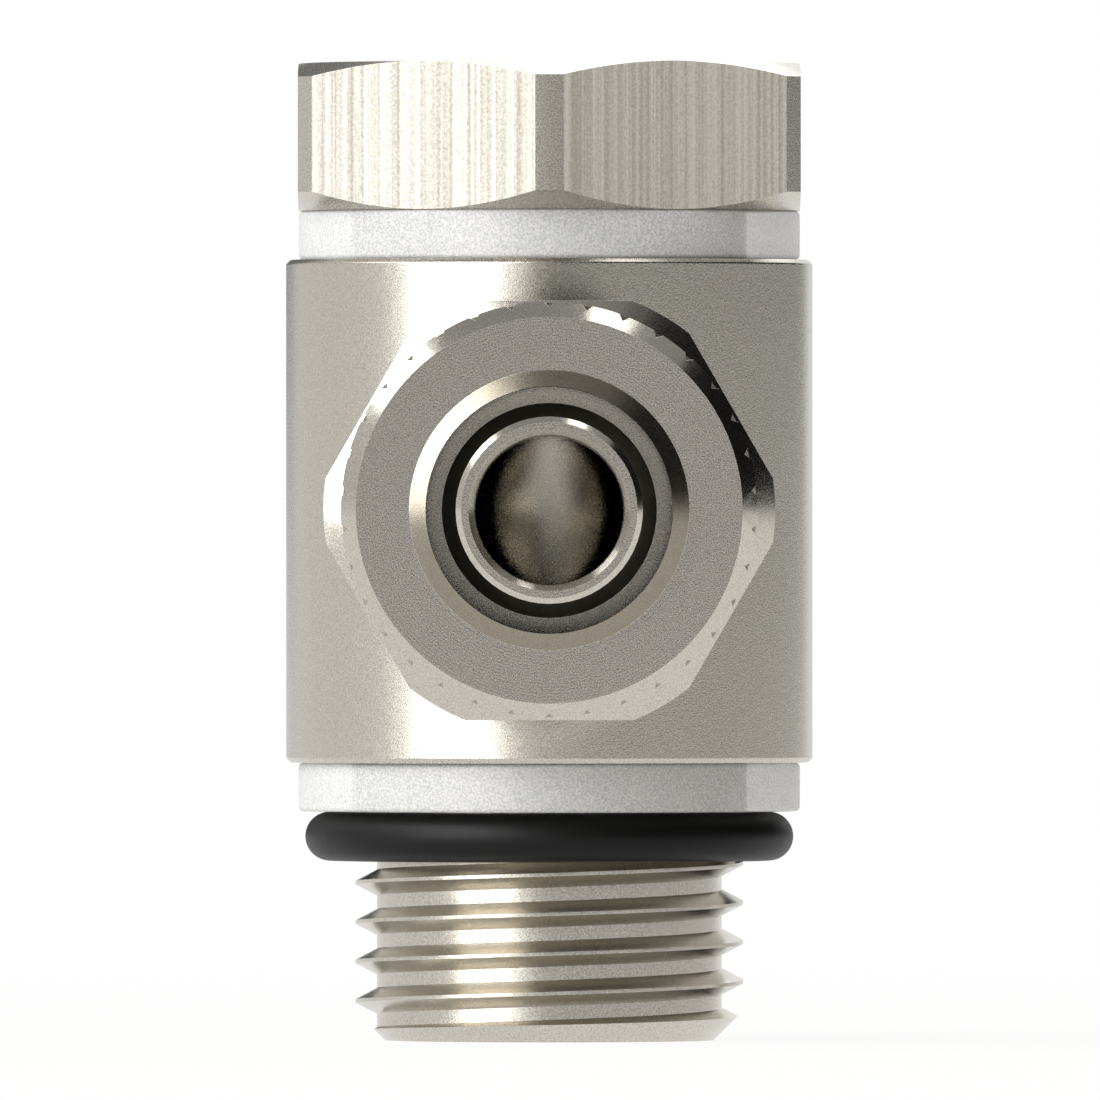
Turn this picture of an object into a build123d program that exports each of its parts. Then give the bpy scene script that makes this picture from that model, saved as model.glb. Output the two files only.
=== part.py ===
from build123d import *
import math
import os

# Swivel elbow fitting for 8/6 mm tube with a G1/4 male thread.
# A hollow bolt carries a ring-shaped body between two sealing washers, so the body can be
# turned to any direction. A stem soldered into the body carries a knurled union nut, which
# clamps the tube on the stem's spigot. Air passes through the stem, the groove round the
# bolt's neck, the cross hole and the bolt's bore.
#
# Millimetres, +Z up along the bolt. The origin is on the bolt's axis, in the plane where the
# lower washer seats on the threaded port. The tube port looks along -Y.

# Thread of the hollow bolt, G1/4
thread_diameter = 13.157
thread_pitch = 1.337
thread_depth = 0.73
thread_crest_width = 0.12
thread_angle = 55.0
thread_length = 7.77
thread_end_chamfer = 1.0
thread_lead_in = 0.66  # height of the first crest over the thread's end, at +X

# Shank, neck and bore of the hollow bolt
shank_step = 0.0215  # shank radius over the thread's radius
shank_below_seat = 1.2
neck_depth = 1.1
neck_height = 9.0
bolt_bore = 7.0
bolt_bore_chamfer = 0.5
cross_hole = 6.0
bore_past_cross_hole = 0.8
drill_point_angle = 118.0

# Hexagon head of the hollow bolt
head_seat_width = 1.9  # from the shank out to a flat, which makes 17 mm across flats
head_corner_rise = 1.05  # turned corner radius over the radius to a flat
head_height = 5.0
head_top_chamfer_angle = 25.0
head_seat_chamfer_angle = 30.0

# Ring-shaped body
journal_clearance = 0.05
body_wall = 2.28
body_height = 17.05
body_edge_chamfer = 0.15
body_bore_chamfer = 0.3

# Sealing washers above and below the body, flush with the head's flats
washer_clearance = 0.1
washer_thickness = 1.65
washer_edge_chamfer = 0.12

# O-rings that seal the shank in the body's bore
seal_section = 1.5
seal_squeeze = 0.15
seal_gap = 0.02
seal_groove_width = 1.9
seal_corner = 0.45  # corner that the squeezed ring leaves open
seal_land = 1.0  # shank left between the neck and a seal groove

# O-ring under the lower washer, which seals the threaded port
port_ring_inset = 0.22  # the O-ring's outer radius under the washer's
port_ring_sides = 12  # flats round the section, which keep its facets few
port_ring_gap = 0.02

# Tube that the port takes
tube_bore = 6.0
tube_wall = 1.0

# Stem
solder_gap = 0.02
stub_diameter = 11.9
stub_chamfer = 0.4
foot_step = 1.45  # foot radius under the stub's radius
spigot_stretch = 0.1
spigot_wall = 0.6
spigot_nose_chamfer = 0.18
spigot_proud = 0.35
clamp_cone_rise = 0.48
clamp_cone_length = 1.8

# Union nut
nut_gap = 3.07
nut_length = 14.0
nut_thread_clearance = 0.1
nut_wall = 0.95
nut_corner_rise = 0.54
nut_hex_length = 6.6
nut_chamfer_angle = 30.0
nut_bore_chamfer = 0.4
collar_step = 0.09
collar_chamfer = 0.5
tube_hole_clearance = 0.1
rim_width = 0.54
rim_height = 0.94
nut_front_wall = 4.0
clamp_gap = 1.5
clamp_seat_angle = 45.0

# Straight knurl on the nut's collar
knurl_count = 34
knurl_depth = 0.18

# Places along the bolt
body_bottom = washer_thickness
body_top = body_bottom + body_height
port_height = body_bottom + body_height / 2
head_bottom = body_top + washer_thickness
head_top = head_bottom + head_height

# Radii about the bolt
thread_radius = thread_diameter / 2
root_radius = thread_radius - thread_depth
shank_radius = thread_radius + shank_step
neck_radius = shank_radius - neck_depth
body_bore_radius = shank_radius + journal_clearance
body_radius = body_bore_radius + body_wall
head_flat_radius = shank_radius + head_seat_width
head_corner_radius = head_flat_radius + head_corner_rise
washer_bore_radius = shank_radius + washer_clearance
washer_radius = head_flat_radius
seal_floor_radius = body_bore_radius - seal_section + seal_squeeze
port_ring_section = washer_radius - port_ring_inset - shank_radius - port_ring_gap

# Radii about the port
stub_radius = stub_diameter / 2
foot_radius = stub_radius - foot_step
spigot_radius = tube_bore / 2 + spigot_stretch
spigot_bore_radius = spigot_radius - spigot_wall
clamp_root_radius = spigot_radius + clamp_cone_rise
tube_hole_radius = tube_bore / 2 + tube_wall + tube_hole_clearance
nut_bore_radius = stub_radius + nut_thread_clearance
nut_flat_radius = nut_bore_radius + nut_wall
nut_corner_radius = nut_flat_radius + nut_corner_rise
collar_radius = nut_flat_radius - collar_step

# Places along the port, from the bolt's axis
nut_rear = body_radius + nut_gap
nut_hex_end = nut_rear + nut_hex_length
nut_face = nut_rear + nut_length
rim_crest = nut_face + rim_height
nut_shoulder = nut_face - nut_front_wall
stub_end = nut_shoulder - clamp_gap
spigot_end = rim_crest + spigot_proud

bolt_axis = Plane.XY
port_axis = Plane(origin=(0, 0, port_height), x_dir=(1, 0, 0), z_dir=(0, -1, 0))


def turned(*points):
    """A solid turned about Z from the (radius, height) points of its half section."""
    outline = Polyline(*[(radius, 0, height) for radius, height in points], close=True)
    return revolve(make_face(outline), Axis.Z)


def tube(outer_radius, inner_radius, low, high):
    """A plain sleeve about Z between two heights."""
    return turned((inner_radius, low), (outer_radius, low), (outer_radius, high), (inner_radius, high))


def hexagon(flat_radius, low, high, turn):
    """A hexagonal bar about Z, with a corner at the angle turn."""
    outline = RegularPolygon(flat_radius, 6, major_radius=False, rotation=turn)
    return Pos(0, 0, low) * extrude(outline, high - low)


def threaded_end():
    """The right-hand thread from its chamfered end up into the shank."""
    half_angle_slope = math.tan(math.radians(thread_angle / 2))
    tip_radius = thread_radius + thread_crest_width / 2 / half_angle_slope
    base_radius = root_radius - thread_crest_width
    half_base = (tip_radius - base_radius) * half_angle_slope
    start = thread_lead_in - thread_length - thread_pitch
    rise = thread_pitch / 2 - shank_below_seat - start
    path = Pos(0, 0, start) * Helix(thread_pitch, rise, base_radius)
    tooth = make_face(
        Polyline(
            (base_radius, 0, start - half_base),
            (tip_radius, 0, start),
            (base_radius, 0, start + half_base),
            close=True,
        )
    )
    ridge = sweep(tooth, path=path, is_frenet=True)
    core = turned((0, start), (root_radius, start), (root_radius, 0), (0, 0))
    blank = turned(
        (0, -thread_length),
        (thread_radius - thread_end_chamfer, -thread_length),
        (thread_radius, thread_end_chamfer - thread_length),
        (thread_radius, 0),
        (0, 0),
    )
    return (core + ridge) & blank


def bolt_shank():
    """The turned shank over the thread, with its neck and its seal grooves."""
    neck_low = port_height - neck_height / 2
    neck_high = port_height + neck_height / 2
    lower_groove = neck_low - seal_land - seal_groove_width
    upper_groove = neck_high + seal_land
    shank = turned(
        (0, -shank_below_seat),
        (shank_radius, -shank_below_seat),
        (shank_radius, neck_low),
        (neck_radius, neck_low),
        (neck_radius, neck_high),
        (shank_radius, neck_high),
        (shank_radius, head_bottom),
        (0, head_bottom),
    )
    for low in (lower_groove, upper_groove):
        shank -= tube(shank_radius + journal_clearance, seal_floor_radius, low, low + seal_groove_width)
    return shank


def bolt_head():
    """The hexagon head, with a flat to each side and its corners turned off."""
    seat_rise = head_corner_rise * math.tan(math.radians(head_seat_chamfer_angle))
    top_drop = head_corner_rise * math.tan(math.radians(head_top_chamfer_angle))
    blank = turned(
        (0, head_bottom),
        (head_flat_radius, head_bottom),
        (head_corner_radius, head_bottom + seat_rise),
        (head_corner_radius, head_top - top_drop),
        (head_flat_radius, head_top),
        (0, head_top),
    )
    return hexagon(head_flat_radius, head_bottom, head_top, 30) & blank


def bolt_bores():
    """The blind bore up the bolt with its drill point, and the cross hole through the neck."""
    radius = bolt_bore / 2
    top = port_height + cross_hole / 2 + bore_past_cross_hole
    point = radius / math.tan(math.radians(drill_point_angle / 2))
    bore = turned(
        (0, -thread_length),
        (radius + bolt_bore_chamfer, -thread_length),
        (radius, bolt_bore_chamfer - thread_length),
        (radius, top),
        (0, top + point),
    )
    cross = Pos(0, 0, port_height) * Rot(0, 90, 0) * Cylinder(cross_hole / 2, 2 * shank_radius)
    return bore + cross


def hollow_bolt():
    return threaded_end() + bolt_shank() + bolt_head() - bolt_bores()


def ring_body():
    """The body, with the hole that the stem's foot is soldered into."""
    body = turned(
        (body_bore_radius + body_bore_chamfer, body_bottom),
        (body_radius - body_edge_chamfer, body_bottom),
        (body_radius, body_bottom + body_edge_chamfer),
        (body_radius, body_top - body_edge_chamfer),
        (body_radius - body_edge_chamfer, body_top),
        (body_bore_radius + body_bore_chamfer, body_top),
        (body_bore_radius, body_top - body_bore_chamfer),
        (body_bore_radius, body_bottom + body_bore_chamfer),
    )
    hole = Cylinder(foot_radius + solder_gap, body_radius, align=(Align.CENTER, Align.CENTER, Align.MIN))
    return body - port_axis.location * hole


def washer(low):
    """A sealing washer that lies on the height low, with its outer edges broken."""
    high = low + washer_thickness
    return turned(
        (washer_bore_radius, low),
        (washer_radius - washer_edge_chamfer, low),
        (washer_radius, low + washer_edge_chamfer),
        (washer_radius, high - washer_edge_chamfer),
        (washer_radius - washer_edge_chamfer, high),
        (washer_bore_radius, high),
    )


def seal_ring(middle):
    """An O-ring squeezed flat between its groove and the body's bore."""
    width = seal_section - seal_squeeze - 2 * seal_gap
    centre = body_bore_radius - seal_gap - width / 2
    section = Rectangle(width, seal_section)
    section = chamfer(section.vertices(), seal_corner)
    return revolve(Plane.XZ * Pos(centre, middle) * section, Axis.Z)


def port_ring():
    """The O-ring on the shank, against the lower washer."""
    section_radius = port_ring_section / 2
    middle_radius = shank_radius + port_ring_gap + section_radius
    flat_up = 180 / port_ring_sides
    section = RegularPolygon(section_radius, port_ring_sides, major_radius=False, rotation=flat_up)
    return revolve(Plane.XZ * Pos(middle_radius, -section_radius - port_ring_gap) * section, Axis.Z)


def port_stem():
    """The stem: a foot in the body, the threaded stub, the clamping cone and the spigot."""
    foot = tube(foot_radius, spigot_bore_radius, 0, body_radius + solder_gap)
    stub = turned(
        (spigot_bore_radius, 0),
        (stub_radius, 0),
        (stub_radius, stub_end - stub_chamfer),
        (stub_radius - stub_chamfer, stub_end),
        (clamp_root_radius, stub_end),
        (spigot_radius, stub_end + clamp_cone_length),
        (spigot_radius, spigot_end - spigot_nose_chamfer),
        (spigot_radius - spigot_nose_chamfer, spigot_end),
        (spigot_bore_radius + spigot_nose_chamfer, spigot_end),
        (spigot_bore_radius, spigot_end - spigot_nose_chamfer),
    )
    body_outside = Cylinder(body_radius + solder_gap, 2 * body_height)
    body_inside = Cylinder(body_bore_radius, 2 * body_height)
    foot = port_axis.location * foot - Pos(0, 0, port_height) * body_inside
    stub = port_axis.location * stub - Pos(0, 0, port_height) * body_outside
    return foot + stub


def nut_outside():
    """The nut's hexagon, its turned collar with the knurl, and the raised rim of the tube hole."""
    corner_drop = nut_corner_rise * math.tan(math.radians(nut_chamfer_angle))
    blank = turned(
        (0, nut_rear),
        (nut_flat_radius, nut_rear),
        (nut_corner_radius, nut_rear + corner_drop),
        (nut_corner_radius, nut_hex_end - corner_drop),
        (collar_radius, nut_hex_end),
        (0, nut_hex_end),
    )
    face_radius = collar_radius - collar_chamfer
    collar = turned(
        (0, nut_hex_end),
        (collar_radius, nut_hex_end),
        (collar_radius, nut_face - collar_chamfer),
        (face_radius, nut_face),
        (tube_hole_radius + rim_width, nut_face),
        (tube_hole_radius, rim_crest),
        (0, rim_crest),
    )
    groove = Pos(0, 0, nut_hex_end) * extrude(
        make_face(
            Polyline(
                (collar_radius - knurl_depth, 0),
                (collar_radius + knurl_depth, 2 * knurl_depth),
                (collar_radius + knurl_depth, -2 * knurl_depth),
                close=True,
            )
        ),
        nut_length,
    )
    grooves = [Rot(0, 0, 360 * (turn + 0.5) / knurl_count) * groove for turn in range(knurl_count)]
    return (hexagon(nut_flat_radius, nut_rear, nut_hex_end, 0) & blank) + (collar - grooves)


def nut_inside():
    """The room for the stub's thread, the clamping seat and the tube hole."""
    seat_length = (nut_bore_radius - tube_hole_radius) / math.tan(math.radians(clamp_seat_angle))
    return turned(
        (0, nut_rear),
        (nut_bore_radius + nut_bore_chamfer, nut_rear),
        (nut_bore_radius, nut_rear + nut_bore_chamfer),
        (nut_bore_radius, nut_shoulder - seat_length),
        (tube_hole_radius, nut_shoulder),
        (tube_hole_radius, rim_crest),
        (0, rim_crest),
    )


def union_nut():
    return port_axis.location * (nut_outside() - nut_inside())


def write_parts():
    neck_reach = neck_height / 2 + seal_land + seal_groove_width / 2
    pieces = {
        "hollow_bolt": hollow_bolt(),
        "upper_washer": washer(body_top),
        "ring_body": ring_body(),
        "upper_seal_ring": seal_ring(port_height + neck_reach),
        "lower_seal_ring": seal_ring(port_height - neck_reach),
        "port_stem": port_stem(),
        "union_nut": union_nut(),
        "lower_washer": washer(0),
        "port_o_ring": port_ring(),
    }
    os.makedirs("parts", exist_ok=True)
    for name, piece in pieces.items():
        piece.label = name
        export_step(piece, f"parts/{name}.step")


write_parts()
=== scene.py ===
import bpy
import math
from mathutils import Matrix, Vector


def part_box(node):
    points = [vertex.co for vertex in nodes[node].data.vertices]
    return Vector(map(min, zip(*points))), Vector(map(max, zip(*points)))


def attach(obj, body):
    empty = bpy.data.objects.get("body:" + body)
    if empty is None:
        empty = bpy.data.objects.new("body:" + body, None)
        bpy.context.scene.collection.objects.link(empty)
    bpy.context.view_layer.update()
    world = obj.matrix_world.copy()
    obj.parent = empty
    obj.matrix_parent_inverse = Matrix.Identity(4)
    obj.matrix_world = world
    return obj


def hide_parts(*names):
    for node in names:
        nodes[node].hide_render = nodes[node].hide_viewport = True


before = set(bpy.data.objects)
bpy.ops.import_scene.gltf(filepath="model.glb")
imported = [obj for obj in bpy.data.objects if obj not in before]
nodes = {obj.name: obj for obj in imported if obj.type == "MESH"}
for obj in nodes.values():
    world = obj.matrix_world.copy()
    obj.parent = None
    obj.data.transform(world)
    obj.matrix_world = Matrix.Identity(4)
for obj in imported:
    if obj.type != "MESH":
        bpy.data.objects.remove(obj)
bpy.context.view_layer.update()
mm = 0.001  # one millimetre in scene units
scene = bpy.context.scene
print("frame loaded:", len(nodes), "nodes")


# Colour and node helpers
def hexColour(code):
    # sRGB hex to the linear values that sockets take
    channels = [int(code[i:i + 2], 16) / 255 for i in (1, 3, 5)]
    return (*[c / 12.92 if c <= 0.04045 else ((c + 0.055) / 1.055) ** 2.4 for c in channels], 1.0)


def addNode(tree, kind, settings=None, **inputs):
    # one node with its settings; an input is a value or the output that it is linked to
    node = tree.nodes.new("ShaderNode" + kind)
    for name, value in (settings or {}).items():
        setattr(node, name, value)
    for name, value in inputs.items():
        if name[1:].isdigit():
            socket = node.inputs[int(name[1:])]
        else:
            socket = next(i for i in node.inputs if i.enabled and i.name == name.replace("_", " "))
        if isinstance(value, bpy.types.NodeSocket):
            tree.links.new(value, socket)
        else:
            socket.default_value = value
    return node


def newMaterial(name):
    material = bpy.data.materials.new(name)
    material.use_nodes = True
    tree = material.node_tree
    return material, tree, tree.nodes["Principled BSDF"]


# Satin nickel plating on turned brass: a warm grey metal whose fine grain softens and speckles
# what it mirrors
satinNickel = {
    "colours": ("#B4AFA4", "#D4CFC5"),  # of the grain's pits and peaks
    "paintedShadeColours": ("#AAA59C", "#C5C0B7"),  # painted shade: the grain's colours darkened on turned end faces and the head's top, standing in for the feed marks shading each other
    "satin": 0.26,  # roughness of the tumbled outside
    "formed": 0.17,  # of chamfers and cones cut with a form tool, the smoothest
    "threaded": 0.23,  # of the pipe thread
    "faced": 0.26,  # of end faces, where the lathe's feed leaves rings
    "crowned": 0.38,  # of the head's top, faced with a coarser feed
    "drilled": 0.25,  # of holes
    "slotted": 0.8,  # of the narrow slot that takes the tube
    "roughnessSpread": 0.06,
    "grainSize": 0.05 * mm,
    "grainRange": (0.3, 0.7),  # of the noise, from pit to peak
    "grainDepth": 0.01 * mm,
    "grainStrength": 0.3,
    "formedGrain": 0.3,  # share of the grain that a form tool leaves
    "threadedGrain": 0.35,  # and a threading die
    "ringSpacing": 0.11 * mm,  # the feed, drawn coarser than the real 0.05 mm so that it shows
    "ringWobble": 0.6,
    "ringDepth": 0.001 * mm,
    "ringStrength": 0.3,
}


def makeNickel(name, finish, grain=1.0, turnedAbout=None, along="Y"):
    # turnedAbout is a point on the axis, along Y or Z, that the faces were turned about
    material, tree, shader = newMaterial(name)
    place = addNode(tree, "TexCoord")
    speckle = addNode(tree, "TexNoise", Vector=place.outputs["Object"],
                      Scale=1 / satinNickel["grainSize"], Detail=1.0)
    bump = addNode(tree, "Bump", Height=speckle.outputs["Fac"], Distance=satinNickel["grainDepth"],
                   Strength=satinNickel["grainStrength"] * grain)
    if turnedAbout:
        centred = addNode(tree, "Mapping", Vector=place.outputs["Object"],
                          Location=[-c for c in turnedAbout])
        ownSpacing = math.pi / 10  # of the texture's rings at a scale of 1
        rings = addNode(tree, "TexWave", {"wave_type": "RINGS", "rings_direction": along},
                        Vector=centred.outputs["Vector"], Scale=ownSpacing / satinNickel["ringSpacing"],
                        Distortion=satinNickel["ringWobble"], Detail=1.0)
        bump = addNode(tree, "Bump", Height=rings.outputs["Fac"], Distance=satinNickel["ringDepth"],
                       Strength=satinNickel["ringStrength"], Normal=bump.outputs["Normal"])
    spread = addNode(tree, "MapRange", Value=speckle.outputs["Fac"],
                     To_Min=satinNickel[finish] - satinNickel["roughnessSpread"],
                     To_Max=satinNickel[finish] + satinNickel["roughnessSpread"])
    # turned faces take the darker colours, which are painted shade
    pit, peak = satinNickel["paintedShadeColours"] if turnedAbout else satinNickel["colours"]
    level = addNode(tree, "MapRange", Value=speckle.outputs["Fac"],
                    From_Min=satinNickel["grainRange"][0], From_Max=satinNickel["grainRange"][1])
    colour = addNode(tree, "Mix", {"data_type": "RGBA"}, Factor=level.outputs["Result"],
                     A=hexColour(pit), B=hexColour(peak))
    tree.links.new(bump.outputs["Normal"], shader.inputs["Normal"])
    tree.links.new(spread.outputs["Result"], shader.inputs["Roughness"])
    tree.links.new(colour.outputs["Result"], shader.inputs["Base Color"])
    shader.inputs["Metallic"].default_value = 1.0
    return material


# Drawn hexagon bar under the plating: dull flats with the die's upright streaks, no two of a width
drawnFlats = {
    "colours": ("#BEBAB0", "#E2DFD8"),  # of the dullest and the brightest streak
    "shine": (0.9, 0.65),  # their roughness
    "metallic": 0.68,  # the pores that drawing leaves scatter the rest
    "poreSize": 0.09 * mm,
    "poreShare": 0.3,  # of the mottling, beside the streaks
    "streakWidth": 0.17 * mm,
    "streakLength": 40 * mm,
    "streakRange": (0.38, 0.62),  # of the noise, from the dullest to the brightest
    "streakDepth": 0.02 * mm,
    "streakStrength": 0.5,
}


def makeDrawnFlats():
    material, tree, shader = newMaterial("drawn_hexagon_flats")
    place = addNode(tree, "TexCoord")
    stretch = drawnFlats["streakWidth"] / drawnFlats["streakLength"]
    along = addNode(tree, "Mapping", Vector=place.outputs["Object"], Scale=(1.0, 1.0, stretch))
    streaks = addNode(tree, "TexNoise", Vector=along.outputs["Vector"], Scale=1 / drawnFlats["streakWidth"],
                      Detail=4.0, Roughness=0.6)
    bump = addNode(tree, "Bump", Height=streaks.outputs["Fac"], Distance=drawnFlats["streakDepth"],
                   Strength=drawnFlats["streakStrength"])
    pores = addNode(tree, "TexNoise", Vector=place.outputs["Object"],
                    Scale=1 / drawnFlats["poreSize"], Detail=1.0)
    both = addNode(tree, "Mix", Factor=drawnFlats["poreShare"],
                   A=streaks.outputs["Fac"], B=pores.outputs["Fac"])
    level = addNode(tree, "MapRange", Value=both.outputs["Result"],
                    From_Min=drawnFlats["streakRange"][0], From_Max=drawnFlats["streakRange"][1])
    shine = addNode(tree, "MapRange", Value=level.outputs["Result"],
                    To_Min=drawnFlats["shine"][0], To_Max=drawnFlats["shine"][1])
    colour = addNode(tree, "Mix", {"data_type": "RGBA"}, Factor=level.outputs["Result"],
                     A=hexColour(drawnFlats["colours"][0]), B=hexColour(drawnFlats["colours"][1]))
    tree.links.new(bump.outputs["Normal"], shader.inputs["Normal"])
    tree.links.new(shine.outputs["Result"], shader.inputs["Roughness"])
    tree.links.new(colour.outputs["Result"], shader.inputs["Base Color"])
    shader.inputs["Metallic"].default_value = drawnFlats["metallic"]
    return material


# Moulded nylon: milky, it lets some light through, and the eroded mould leaves it matt with fine pits
nylon = {
    "colours": ("#D2D5D9", "#FFFFFF"),  # in the pits and between them
    "roughness": 0.42,
    "ior": 1.53,
    "cover": 0.55,  # the rest shows what lies behind
    "pitSize": 0.07 * mm,
    "pitRange": (0.35, 0.65),  # of the noise, from the pits to between them
    "pitDepth": 0.02 * mm,
    "pitStrength": 1.0,
}


def makeNylon():
    material, tree, shader = newMaterial("moulded_white_nylon")
    place = addNode(tree, "TexCoord")
    pits = addNode(tree, "TexNoise", Vector=place.outputs["Object"], Scale=1 / nylon["pitSize"], Detail=1.0)
    bump = addNode(tree, "Bump", Height=pits.outputs["Fac"], Distance=nylon["pitDepth"],
                   Strength=nylon["pitStrength"])
    level = addNode(tree, "MapRange", Value=pits.outputs["Fac"],
                    From_Min=nylon["pitRange"][0], From_Max=nylon["pitRange"][1])
    colour = addNode(tree, "Mix", {"data_type": "RGBA"}, Factor=level.outputs["Result"],
                     A=hexColour(nylon["colours"][0]), B=hexColour(nylon["colours"][1]))
    tree.links.new(bump.outputs["Normal"], shader.inputs["Normal"])
    tree.links.new(colour.outputs["Result"], shader.inputs["Base Color"])
    shader.inputs["Roughness"].default_value = nylon["roughness"]
    shader.inputs["Alpha"].default_value = nylon["cover"]
    shader.inputs["IOR"].default_value = nylon["ior"]
    return material


# Moulded nitrile rubber: black, with a dull sheen that fine talc breaks up
rubber = {
    "colour": "#0E0E0E",
    "shine": (0.4, 0.54),  # least and most roughness
    "sheenLevel": 0.2,
    "ior": 1.52,
    "talcSize": 0.12 * mm,
    "talcDepth": 0.002 * mm,
    "talcStrength": 0.3,
}


def makeRubber():
    material, tree, shader = newMaterial("moulded_nitrile_rubber")
    place = addNode(tree, "TexCoord")
    talc = addNode(tree, "TexNoise", Vector=place.outputs["Object"],
                   Scale=1 / rubber["talcSize"], Detail=2.0)
    shine = addNode(tree, "MapRange", Value=talc.outputs["Fac"],
                    To_Min=rubber["shine"][0], To_Max=rubber["shine"][1])
    bump = addNode(tree, "Bump", Height=talc.outputs["Fac"], Distance=rubber["talcDepth"],
                   Strength=rubber["talcStrength"])
    tree.links.new(shine.outputs["Result"], shader.inputs["Roughness"])
    tree.links.new(bump.outputs["Normal"], shader.inputs["Normal"])
    shader.inputs["Base Color"].default_value = hexColour(rubber["colour"])
    shader.inputs["Specular IOR Level"].default_value = rubber["sheenLevel"]
    shader.inputs["IOR"].default_value = rubber["ior"]
    return material


portCentre = [(low + high) / 2 for low, high in zip(*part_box("union_nut"))]
nickelMaterial = makeNickel("satin_nickel_plating", "satin")
formedMaterial = makeNickel("form_cut_nickel_plating", "formed", grain=satinNickel["formedGrain"])
threadMaterial = makeNickel("threaded_nickel_plating", "threaded", grain=satinNickel["threadedGrain"])
# the faced and crowned platings are darker copies of the nickel, with painted shade for their feed marks
facedPaintedShadeMaterial = makeNickel("faced_nickel_plating_with_painted_shade", "faced", turnedAbout=portCentre)
crownPaintedShadeMaterial = makeNickel("crowned_nickel_plating_with_painted_shade", "crowned", turnedAbout=(0, 0, 0), along="Z")
drilledMaterial = makeNickel("drilled_nickel_plating", "drilled")
slotMaterial = makeNickel("slotted_nickel_plating", "slotted")
flatsMaterial = makeDrawnFlats()
nylonMaterial = makeNylon()
rubberMaterial = makeRubber()
print("materials ready")


# Copies of the turned and milled pieces, with the sharp edges broken as the tumbling before
# plating leaves them
edgeWork = {
    "weldWithin": 0.0005 * mm,  # points this near to each other become one
    "flatWithin": 0.3,  # degrees between triangles that are one flat face
    "sharpFrom": 22,  # degrees across an edge that gets broken
    "smoothBelow": 24,  # degrees across an edge that shades as one surface
    "steps": 2,  # across a broken edge
    "enlargement": 1024,  # a power of two, so that rounding moves no point
    "touching": 0.01 * mm,  # what is this near to a plane lies in it
    "facing": 0.99,  # a face with this much of its normal along an axis is square to it
    "beside": 0.01,  # and one with less than this runs along it
}


def chooseOnly(thing):
    bpy.ops.object.select_all(action="DESELECT")
    thing.select_set(True)
    bpy.context.view_layer.objects.active = thing


def pickEdges(thing, test):
    # selects the sharp edges whose middle passes the test, and stays in edit mode
    bpy.ops.object.mode_set(mode="EDIT")
    bpy.ops.mesh.select_mode(type="EDGE")
    bpy.ops.mesh.select_all(action="DESELECT")
    bpy.ops.mesh.edges_select_sharp(sharpness=math.radians(edgeWork["sharpFrom"]))
    bpy.ops.object.mode_set(mode="OBJECT")
    points = thing.data.vertices
    for edge in thing.data.edges:
        middle = (points[edge.vertices[0]].co + points[edge.vertices[1]].co) / 2
        edge.select = edge.select and test(middle)
    bpy.ops.object.mode_set(mode="EDIT")


def copyOfNode(node, name, body):
    piece = bpy.data.objects.new(name, nodes[node].data.copy())
    scene.collection.objects.link(piece)
    chooseOnly(piece)
    bpy.ops.object.mode_set(mode="EDIT")
    bpy.ops.mesh.customdata_custom_splitnormals_clear()
    bpy.ops.mesh.select_all(action="SELECT")
    bpy.ops.mesh.remove_doubles(threshold=edgeWork["weldWithin"])
    bpy.ops.mesh.dissolve_limited(angle_limit=math.radians(edgeWork["flatWithin"]), delimit={"NORMAL"})
    bpy.ops.object.mode_set(mode="OBJECT")
    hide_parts(node)
    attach(piece, body)
    return piece


def enlarge(piece, factor):
    for point in piece.data.vertices:
        point.co *= factor


def breakEdges(piece, node, width, test, smoothBelow=edgeWork["smoothBelow"], steps=edgeWork["steps"]):
    # width is the most that an edge gets: all are narrower where two of them run close together
    pickEdges(piece, test)
    bpy.ops.mesh.bevel(offset=width, segments=steps, clamp_overlap=True)
    bpy.ops.object.mode_set(mode="OBJECT")
    low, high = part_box(node)
    for point in piece.data.vertices:
        # where two broken edges meet, the bevel goes a few microns past the face
        point.co = [min(max(point.co[axis], low[axis]), high[axis]) for axis in range(3)]
    bpy.ops.object.mode_set(mode="EDIT")
    bpy.ops.mesh.select_mode(type="VERT")
    bpy.ops.mesh.select_all(action="SELECT")
    bpy.ops.mesh.remove_doubles(threshold=edgeWork["weldWithin"])
    bpy.ops.mesh.dissolve_degenerate(threshold=edgeWork["weldWithin"])
    bpy.ops.object.mode_set(mode="OBJECT")
    bpy.ops.object.shade_smooth_by_angle(angle=math.radians(smoothBelow))
    # large faces keep their own shading beside the narrow broken edges, which is worked out on an
    # enlarged piece, because the modifier takes the area of faces this small for nothing
    enlarge(piece, edgeWork["enlargement"])
    bpy.ops.object.modifier_add(type="WEIGHTED_NORMAL")
    piece.modifiers[-1].keep_sharp = True
    bpy.ops.object.modifier_apply(modifier=piece.modifiers[-1].name)
    enlarge(piece, 1 / edgeWork["enlargement"])


def giveMaterials(piece, *materials):
    # the first is the one that every face starts with
    piece.data.materials.clear()
    for material in materials:
        piece.data.materials.append(material)


def paint(piece, face, material):
    face.material_index = piece.data.materials.find(material.name)


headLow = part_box("upper_washer")[1].z
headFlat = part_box("upper_washer")[1].x  # the washers are as wide as the head over its flats
hexBolt = {
    "edge": 0.05 * mm,
    "headFrom": 0.8 * headFlat,  # the head's edges are outside this radius
    "crownFrom": headLow + 1.0 * mm,  # and its top is above this height
}


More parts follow.
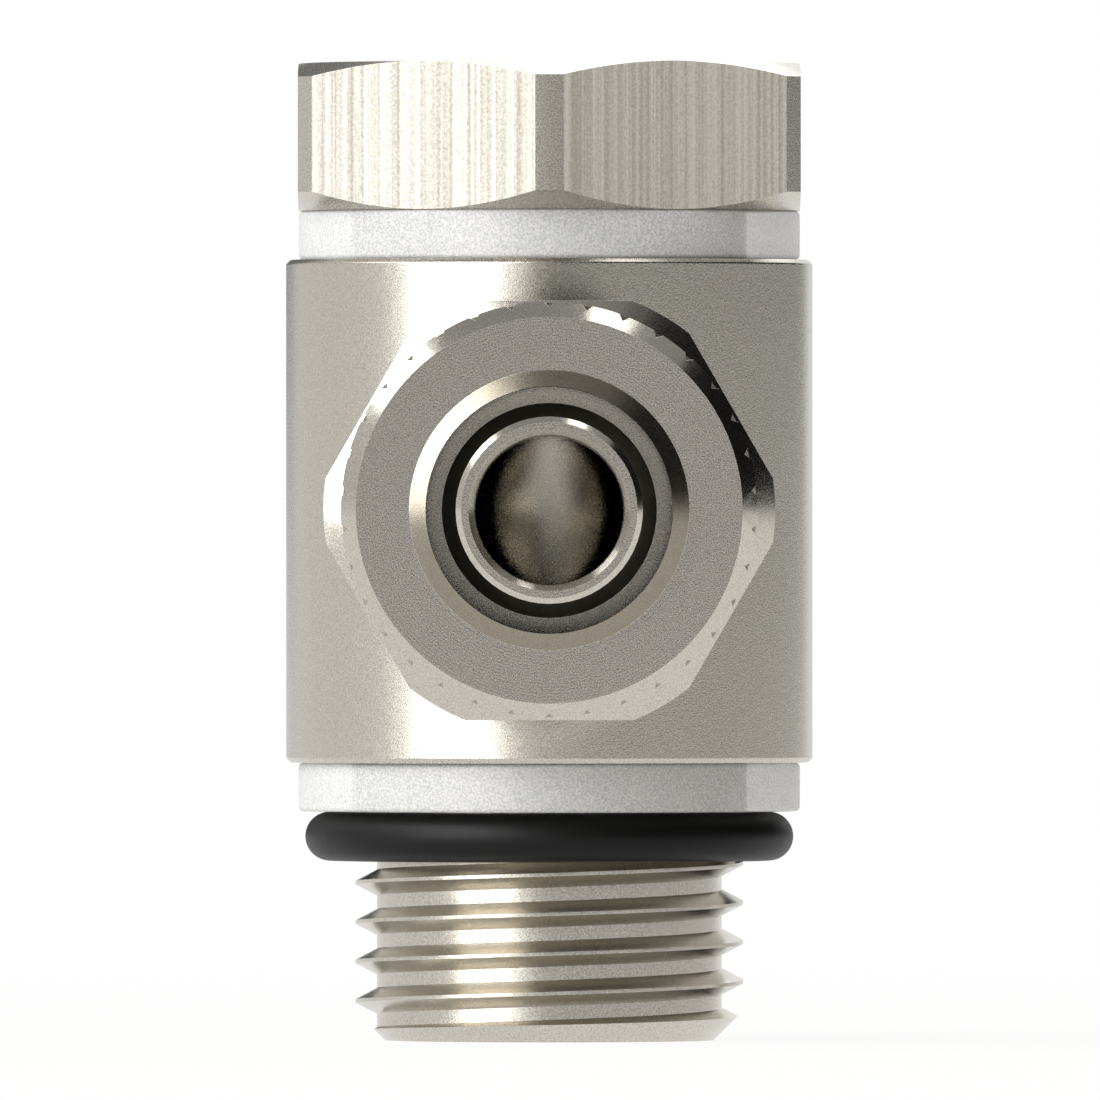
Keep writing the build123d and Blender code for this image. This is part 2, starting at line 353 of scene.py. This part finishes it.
def makeBolt():
    bolt = copyOfNode("hollow_bolt", "hollow_hex_bolt", "bolt")
    giveMaterials(bolt, nickelMaterial, flatsMaterial, threadMaterial, crownPaintedShadeMaterial)
    touching = edgeWork["touching"]
    breakEdges(bolt, "hollow_bolt", hexBolt["edge"],
               lambda middle: middle.z > headLow - touching and middle.xy.length > hexBolt["headFrom"])
    for face in bolt.data.polygons:
        upright = abs(face.normal.z) < edgeWork["beside"]
        onFlat = abs(face.center.dot(face.normal) - headFlat) < touching
        if face.center.z < 0:
            paint(bolt, face, threadMaterial)
        elif face.center.z > headLow and upright and onFlat:
            paint(bolt, face, flatsMaterial)
        elif face.center.z > hexBolt["crownFrom"] and face.normal.z > edgeWork["facing"]:
            paint(bolt, face, crownPaintedShadeMaterial)


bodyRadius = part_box("ring_body")[1].x
ringBody = {"edge": 0.09 * mm, "wallFrom": 0.9 * bodyRadius}  # its outer edges are outside this radius


def makeRingBody():
    body = copyOfNode("ring_body", "turned_ring_body", "body")
    giveMaterials(body, nickelMaterial)
    breakEdges(body, "ring_body", ringBody["edge"],
               lambda middle: middle.xy.length > ringBody["wallFrom"])


def fromPortAxis(point):
    return Vector((point.x - portCentre[0], point.z - portCentre[2])).length


sideStem = {
    "edge": 0.03 * mm,
    "stubLength": 8 * mm,  # from the stem's outer end
    "nose": 0.3 * mm,  # from there too
    "bore": 2.6 * mm,  # radius that the bore's wall is inside
    "slot": 3.7 * mm,  # and the slot's walls
    "slotSteepest": 0.9,  # part of the normal along the port that a wall of the slot may have
}


def makeStem():
    stem = copyOfNode("port_stem", "side_stem", "body")
    giveMaterials(stem, formedMaterial, facedPaintedShadeMaterial, drilledMaterial, slotMaterial)
    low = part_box("port_stem")[0].y
    stubEnd = low + sideStem["stubLength"]
    breakEdges(stem, "port_stem", sideStem["edge"],
               lambda middle: middle.y < stubEnd and fromPortAxis(middle) > sideStem["slot"])
    for face in stem.data.polygons:
        radius = fromPortAxis(face.center)
        if face.normal.y < -edgeWork["facing"]:
            paint(stem, face, facedPaintedShadeMaterial)
        elif face.center.y < low + sideStem["nose"]:
            paint(stem, face, formedMaterial)
        elif radius < sideStem["bore"]:
            paint(stem, face, drilledMaterial)
        elif radius < sideStem["slot"] and abs(face.normal.y) < sideStem["slotSteepest"]:
            paint(stem, face, slotMaterial)


unionNut = {
    "edge": 0.035 * mm,
    "edgeSteps": 4,
    "smoothBelow": 14,  # low, so that the knurl's notches stay crisp
    "hexLength": 6.6 * mm,  # from the nut's rear end
    "hexMargin": 0.5 * mm,
    "rimLength": 1.0 * mm,  # from its front end
    "rim": 6.0 * mm,  # radius that the raised rim is inside
    "collar": 6.95 * mm,  # radius that the hexagon's edges are outside
}


def makeNut():
    nut = copyOfNode("union_nut", "knurled_union_nut", "nut")
    giveMaterials(nut, formedMaterial, facedPaintedShadeMaterial, nickelMaterial)
    nutLow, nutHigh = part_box("union_nut")
    hexEnd = nutHigh.y - unionNut["hexLength"]

    def onHexagonOrRim(middle):
        radius = fromPortAxis(middle)
        onHexagon = middle.y > hexEnd - unionNut["hexMargin"] and radius > unionNut["collar"]
        onRim = middle.y < nutLow.y + unionNut["rimLength"] and radius < unionNut["rim"]
        return onHexagon or onRim

    breakEdges(nut, "union_nut", unionNut["edge"], onHexagonOrRim,
               smoothBelow=unionNut["smoothBelow"], steps=unionNut["edgeSteps"])
    for face in nut.data.polygons:
        if face.normal.y < -edgeWork["facing"]:
            paint(nut, face, facedPaintedShadeMaterial)
        elif abs(face.normal.y) < edgeWork["beside"]:
            paint(nut, face, nickelMaterial)


# Washers: rings with rounded rims, from a cylinder whose ends are inset and bridged through
washer = {"steps": 160, "rimRadius": 0.16 * mm, "rimSteps": 4, "smoothBelow": 30}
washerBore = min(point.co.xy.length for point in nodes["upper_washer"].data.vertices)


def makeWasher(node, name):
    low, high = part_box(node)
    bpy.ops.object.select_all(action="DESELECT")
    bpy.ops.mesh.primitive_cylinder_add(vertices=washer["steps"], radius=high.x, depth=high.z - low.z,
                                        location=(0, 0, (low.z + high.z) / 2))
    piece = bpy.context.active_object
    piece.name = name
    bpy.ops.object.transform_apply(location=True)
    bpy.ops.object.mode_set(mode="EDIT")
    bpy.ops.mesh.select_mode(type="FACE")
    bpy.ops.mesh.select_all(action="DESELECT")
    bpy.ops.object.mode_set(mode="OBJECT")
    for face in piece.data.polygons:
        face.select = abs(face.normal.z) > edgeWork["facing"]
    bpy.ops.object.mode_set(mode="EDIT")
    bpy.ops.mesh.inset(thickness=high.x - washerBore, use_individual=True)
    bpy.ops.mesh.bridge_edge_loops()
    pickEdges(piece, lambda middle: middle.xy.length > washerBore)
    bpy.ops.mesh.bevel(offset=washer["rimRadius"], segments=washer["rimSteps"])
    bpy.ops.mesh.select_mode(type="VERT")
    bpy.ops.mesh.select_all(action="SELECT")
    bpy.ops.mesh.normals_make_consistent(inside=False)
    bpy.ops.object.mode_set(mode="OBJECT")
    bpy.ops.object.shade_smooth_by_angle(angle=math.radians(washer["smoothBelow"]))
    giveMaterials(piece, nylonMaterial)
    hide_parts(node)
    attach(piece, "bolt")


# O-rings: a torus as thick as the ring in the frame, pressed to its height
oRing = {"stepsAround": 160, "stepsInSection": 40}


def makeORing(node, name):
    low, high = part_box(node)
    section = high.x - min(point.co.xy.length for point in nodes[node].data.vertices)
    middle = (low.z + high.z) / 2
    bpy.ops.object.select_all(action="DESELECT")
    bpy.ops.mesh.primitive_torus_add(major_radius=high.x - section / 2, minor_radius=section / 2,
                                     major_segments=oRing["stepsAround"],
                                     minor_segments=oRing["stepsInSection"], location=(0, 0, middle))
    piece = bpy.context.active_object
    piece.name = name
    bpy.ops.object.transform_apply(location=True)
    bpy.ops.object.mode_set(mode="EDIT")
    bpy.ops.mesh.select_all(action="SELECT")
    pressed = (high.z - low.z) / section
    bpy.ops.transform.resize(value=(1.0, 1.0, pressed), center_override=(0, 0, middle))
    bpy.ops.object.mode_set(mode="OBJECT")
    bpy.ops.object.shade_smooth()
    giveMaterials(piece, rubberMaterial)
    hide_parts(node)
    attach(piece, "bolt")


makeBolt()
makeRingBody()
makeStem()
makeNut()
makeWasher("upper_washer", "upper_nylon_washer")
makeWasher("lower_washer", "lower_nylon_washer")
makeORing("port_o_ring", "port_sealing_ring")
makeORing("upper_seal_ring", "upper_inner_seal")
makeORing("lower_seal_ring", "lower_inner_seal")
print("pieces modelled")


# Studio
studio = {
    "centre": Vector((0, -9, 10)) * mm,
    "floorSize": 6.0,
    "floorColour": "#E4E1DA",
    "floorRoughness": 0.9,
    "floorGlow": 0.93,  # share of the floor under the object that the camera sees as plain white
    "shadowReach": 0.25,  # beyond this from the object the floor is all white
    "roomColour": "#B4B2AE",  # what matt surfaces are lit by from all round
}


def seenInMirrors(path, tree):
    # 1 for what metal mirrors and nylon lets through
    return addNode(tree, "Math", {"operation": "MAXIMUM"},
                   _0=path.outputs["Is Glossy Ray"], _1=path.outputs["Is Transmission Ray"]).outputs[0]


def makeFloor():
    bpy.ops.object.select_all(action="DESELECT")
    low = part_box("hollow_bolt")[0].z
    bpy.ops.mesh.primitive_plane_add(size=studio["floorSize"], location=(0, 0, low))
    floor = bpy.context.active_object
    floor.name = "floor"
    material, tree, shader = newMaterial("white_paper")
    shader.inputs["Base Color"].default_value = hexColour(studio["floorColour"])
    shader.inputs["Roughness"].default_value = studio["floorRoughness"]
    shader.inputs["Specular IOR Level"].default_value = 0.0
    path = addNode(tree, "LightPath")
    place = addNode(tree, "TexCoord")
    distance = addNode(tree, "VectorMath", {"operation": "LENGTH"}, _0=place.outputs["Object"])
    fade = addNode(tree, "MapRange", Value=distance.outputs["Value"], From_Max=studio["shadowReach"],
                   To_Min=studio["floorGlow"], To_Max=1.0)
    seen = addNode(tree, "Math", {"operation": "MULTIPLY"},
                   _0=path.outputs["Is Camera Ray"], _1=fade.outputs["Result"])
    share = addNode(tree, "Math", {"operation": "MAXIMUM"},
                    _0=seen.outputs[0], _1=seenInMirrors(path, tree))
    glow = addNode(tree, "Emission", Color=hexColour("#FFFFFF"))
    mix = addNode(tree, "MixShader", _0=share.outputs[0], _1=shader.outputs[0], _2=glow.outputs[0])
    tree.links.new(mix.outputs[0], tree.nodes["Material Output"].inputs["Surface"])
    floor.data.materials.append(material)


def makeRoom():
    world = bpy.data.worlds.new("white_room")
    scene.world = world
    world.use_nodes = True
    tree = world.node_tree
    tree.nodes.clear()
    path = addNode(tree, "LightPath")
    dim = addNode(tree, "Background", Color=hexColour(studio["roomColour"]))
    white = addNode(tree, "Background", Color=hexColour("#FFFFFF"))
    share = addNode(tree, "Math", {"operation": "MAXIMUM"},
                    _0=path.outputs["Is Camera Ray"], _1=seenInMirrors(path, tree))
    mix = addNode(tree, "MixShader", _0=share.outputs[0], _1=dim.outputs[0], _2=white.outputs[0])
    addNode(tree, "OutputWorld", Surface=mix.outputs[0])


def direction(azimuth, elevation):
    # azimuth 0 is the camera's side, positive to its right; both in degrees
    a, e = math.radians(azimuth), math.radians(elevation)
    return Vector((math.sin(a) * math.cos(e), -math.cos(a) * math.cos(e), math.sin(e)))


# Cards that the metal mirrors: azimuth from, to, elevation from, to, and grey level
cards = {
    "black_card_right": (-11, 153, 0.25, 47, 0.012),
    "grey_card_left": (-150, -64, 0.25, 50, 0.70),
    "grey_card_rear_left": (-176, -150, 0.25, 48, 0.15),
}
cardRadius = 2.4
cardSteps = 180  # round the whole cylinder that a card is cut from
ceiling = {"level": 0.36, "height": 2.6, "front": -2.6, "rear": 1.2, "halfWidth": 2.6}


def cardMaterial(name, level):
    material, tree, _ = newMaterial(name)
    glow = addNode(tree, "Emission", Color=(level, level, level, 1.0))
    tree.links.new(glow.outputs[0], tree.nodes["Material Output"].inputs["Surface"])
    return material


def showOnlyInMirrors(thing):
    thing.visible_camera = False
    thing.visible_diffuse = False
    thing.visible_shadow = False


def makeCard(name, azimuthFrom, azimuthTo, elevationFrom, elevationTo, level):
    # a paper cylinder round the object, cut to its arc
    low = studio["centre"].z + cardRadius * math.tan(math.radians(elevationFrom))
    high = studio["centre"].z + cardRadius * math.tan(math.radians(elevationTo))
    bpy.ops.object.select_all(action="DESELECT")
    bpy.ops.mesh.primitive_cylinder_add(vertices=cardSteps, radius=cardRadius, depth=high - low,
                                        end_fill_type="NOTHING",
                                        location=(studio["centre"].x, studio["centre"].y, (low + high) / 2))
    card = bpy.context.active_object
    card.name = name
    bpy.ops.object.mode_set(mode="EDIT")
    bpy.ops.mesh.select_all(action="DESELECT")
    bpy.ops.object.mode_set(mode="OBJECT")
    for face in card.data.polygons:
        azimuth = math.degrees(math.atan2(face.center.x, -face.center.y))
        face.select = not azimuthFrom <= azimuth <= azimuthTo
    bpy.ops.object.mode_set(mode="EDIT")
    bpy.ops.mesh.delete(type="FACE")
    bpy.ops.object.mode_set(mode="OBJECT")
    card.data.materials.append(cardMaterial(name, level))
    showOnlyInMirrors(card)


def makeCeiling():
    bpy.ops.object.select_all(action="DESELECT")
    depth = ceiling["rear"] - ceiling["front"]
    middle = (ceiling["rear"] + ceiling["front"]) / 2
    bpy.ops.mesh.primitive_plane_add(size=1.0, location=(0, middle, ceiling["height"]))
    card = bpy.context.active_object
    card.name = "grey_card_above"
    card.scale = (2 * ceiling["halfWidth"], depth, 1.0)
    card.data.materials.append(cardMaterial(card.name, ceiling["level"]))
    showOnlyInMirrors(card)


# Softboxes: azimuth, elevation of the middle, distance, width, height, brightness of the panel
softboxes = {
    "key_softbox": (-44, 26, 0.68, 0.57, 0.66, 5.0),
    "high_left_softbox": (-92, 42.5, 0.62, 0.34, 0.25, 2.4),
    "small_high_right_softbox": (90, 72, 0.6, 0.12, 0.12, 3.2),
    "rear_softbox": (165, 44, 0.9, 0.66, 0.62, 1.5),
}


def makeSoftbox(name, azimuth, elevation, distance, width, height, brightness):
    panel = bpy.data.lights.new(name, "AREA")
    panel.shape = "RECTANGLE"
    panel.size = width
    panel.size_y = height
    panel.energy = brightness * math.pi * width * height
    lamp = bpy.data.objects.new(name, panel)
    scene.collection.objects.link(lamp)
    towards = direction(azimuth, elevation)
    lamp.location = studio["centre"] + distance * towards
    lamp.rotation_euler = (-towards).to_track_quat("-Z", "Y").to_euler()
    lamp.visible_camera = False


makeFloor()
makeRoom()
for name, card in cards.items():
    makeCard(name, *card)
makeCeiling()
for name, box in softboxes.items():
    makeSoftbox(name, *box)
print("studio ready:", len(cards) + 1, "cards,", len(softboxes), "softboxes")


# Camera, straight into the tube port as in the photo
camera = {
    "distance": 1.1,
    "widthSeen": 37.324 * mm,  # across the photo, in the plane of the bolt's axis
    "sensor": 36.0,
    "across": 0.024 * mm,
    "height": 8.856 * mm,
    "near": 0.05,
    "far": 20.0,
}


def makeCamera():
    lens = bpy.data.cameras.new("camera")
    lens.sensor_width = camera["sensor"]
    lens.lens = camera["sensor"] * camera["distance"] / camera["widthSeen"]
    lens.clip_start, lens.clip_end = camera["near"], camera["far"]
    rig = bpy.data.objects.new("camera", lens)
    scene.collection.objects.link(rig)
    rig.location = (camera["across"], -camera["distance"], camera["height"])
    rig.rotation_euler = (math.radians(90), 0, 0)
    scene.camera = rig


makeCamera()
scene.view_settings.view_transform = "Standard"
print("camera placed")
